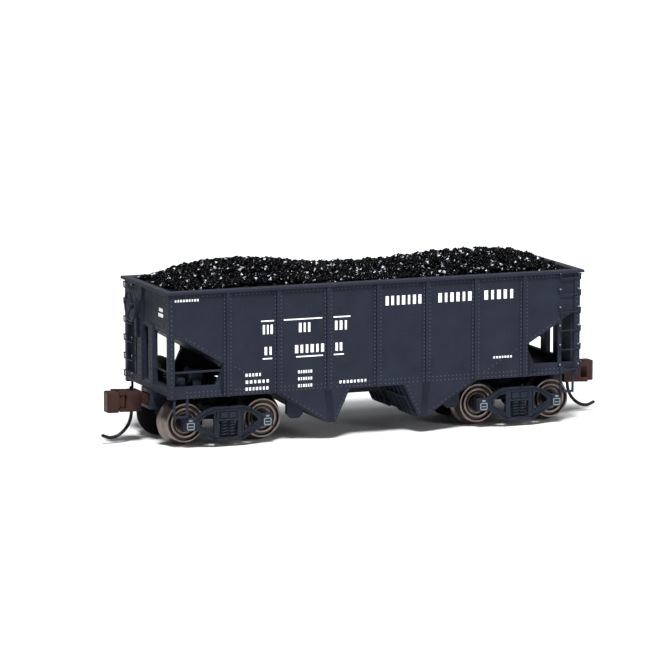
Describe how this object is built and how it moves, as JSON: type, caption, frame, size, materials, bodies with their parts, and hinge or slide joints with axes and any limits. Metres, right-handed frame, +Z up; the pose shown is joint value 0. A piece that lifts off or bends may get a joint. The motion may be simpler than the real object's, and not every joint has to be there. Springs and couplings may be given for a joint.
{
  "type": "model hopper car",
  "caption": "Small scale railway hopper car with outside side stakes, sloped bays, a lift-out coal load, swivelling trucks, free-rolling wheelsets and swinging knuckle couplers.",
  "frame": {"origin": "under the middle of the car, level with the bottoms of the wheel flanges", "axes": "+X along the car towards the end without the brake wheel, +Y across it, +Z up"},
  "size_m": [0.0698, 0.0172, 0.0233],
  "materials": {
    "body_plastic": "satin moulded dark slate plastic",
    "frame_plastic": "satin moulded near-black plastic",
    "coal": "glossy black broken coal",
    "coupler_plastic": "satin dark brown acetal plastic",
    "wheel_metal": "turned metal with bronze tint",
    "weight_steel": "plain sheared steel",
    "wire_steel": "blackened steel wire",
    "spring_bronze": "plain bronze spring wire"
  },
  "bodies": {
    "car_body": {"body_shell": "body_plastic", "underframe": "frame_plastic", "steel_weight": "weight_steel", "brake_wheel": "body_plastic", "brake_housing": "body_plastic", "brake_cylinder": "frame_plastic", "air_reservoir": "frame_plastic", "control_valve": "frame_plastic", "kingpin_left": "frame_plastic", "coupler_box_lid_left": "frame_plastic", "lid_screw_left": "wire_steel", "centring_spring_left": "spring_bronze", "step_left_front": "body_plastic", "step_left_rear": "body_plastic", "kingpin_right": "frame_plastic", "coupler_box_lid_right": "frame_plastic", "lid_screw_right": "wire_steel", "centring_spring_right": "spring_bronze", "step_right_front": "body_plastic", "step_right_rear": "body_plastic"},
    "coal_load": {"coal_load": "coal"},
    "truck_left": {"truck_frame_left": "frame_plastic"},
    "coupler_left": {"coupler_head_left": "coupler_plastic", "trip_pin_left": "wire_steel", "knuckle_pin_left": "wire_steel"},
    "knuckle_left": {"coupler_knuckle_left": "coupler_plastic"},
    "truck_right": {"truck_frame_right": "frame_plastic"},
    "coupler_right": {"coupler_head_right": "coupler_plastic", "trip_pin_right": "wire_steel", "knuckle_pin_right": "wire_steel"},
    "knuckle_right": {"coupler_knuckle_right": "coupler_plastic"},
    "wheelset_1": {"axle_1": "frame_plastic", "wheel_1_front": "wheel_metal", "wheel_1_rear": "wheel_metal"},
    "wheelset_2": {"axle_2": "frame_plastic", "wheel_2_front": "wheel_metal", "wheel_2_rear": "wheel_metal"},
    "wheelset_3": {"axle_3": "frame_plastic", "wheel_3_front": "wheel_metal", "wheel_3_rear": "wheel_metal"},
    "wheelset_4": {"axle_4": "frame_plastic", "wheel_4_front": "wheel_metal", "wheel_4_rear": "wheel_metal"}
  },
  "joints": [
    {"name": "coal_load_lift", "type": "slide", "parent": "car_body", "child": "coal_load", "axis": [0, 0, 1], "range_m": [0, 0.008]},
    {"name": "truck_swivel_left", "type": "hinge", "parent": "car_body", "child": "truck_left", "pos_m": [-0.0204, 0, 0.0055], "axis": [0, 0, 1], "range_deg": [-9, 9]},
    {"name": "truck_swivel_right", "type": "hinge", "parent": "car_body", "child": "truck_right", "pos_m": [0.0204, 0, 0.0055], "axis": [0, 0, 1], "range_deg": [-9, 9]},
    {"name": "wheelset_1_roll", "type": "hinge", "parent": "truck_left", "child": "wheelset_1", "pos_m": [-0.02565, 0, 0.00315], "axis": [0, 1, 0], "continuous": true},
    {"name": "wheelset_2_roll", "type": "hinge", "parent": "truck_left", "child": "wheelset_2", "pos_m": [-0.01515, 0, 0.00315], "axis": [0, 1, 0], "continuous": true},
    {"name": "wheelset_3_roll", "type": "hinge", "parent": "truck_right", "child": "wheelset_3", "pos_m": [0.01515, 0, 0.00315], "axis": [0, 1, 0], "continuous": true},
    {"name": "wheelset_4_roll", "type": "hinge", "parent": "truck_right", "child": "wheelset_4", "pos_m": [0.02565, 0, 0.00315], "axis": [0, 1, 0], "continuous": true},
    {"name": "coupler_swing_left", "type": "hinge", "parent": "car_body", "child": "coupler_left", "pos_m": [-0.0262, 0, 0.00555], "axis": [0, 0, 1], "range_deg": [-12, 12], "stiffness_Nm_per_rad": 0.0005},
    {"name": "knuckle_open_left", "type": "hinge", "parent": "coupler_left", "child": "knuckle_left", "pos_m": [-0.0323, -0.0006, 0.00555], "axis": [0, 0, 1], "range_deg": [0, 25], "stiffness_Nm_per_rad": 0.0002},
    {"name": "coupler_swing_right", "type": "hinge", "parent": "car_body", "child": "coupler_right", "pos_m": [0.0262, 0, 0.00555], "axis": [0, 0, 1], "range_deg": [-12, 12], "stiffness_Nm_per_rad": 0.0005},
    {"name": "knuckle_open_right", "type": "hinge", "parent": "coupler_right", "child": "knuckle_right", "pos_m": [0.0323, 0.0006, 0.00555], "axis": [0, 0, 1], "range_deg": [0, 25], "stiffness_Nm_per_rad": 0.0002}
  ]
}
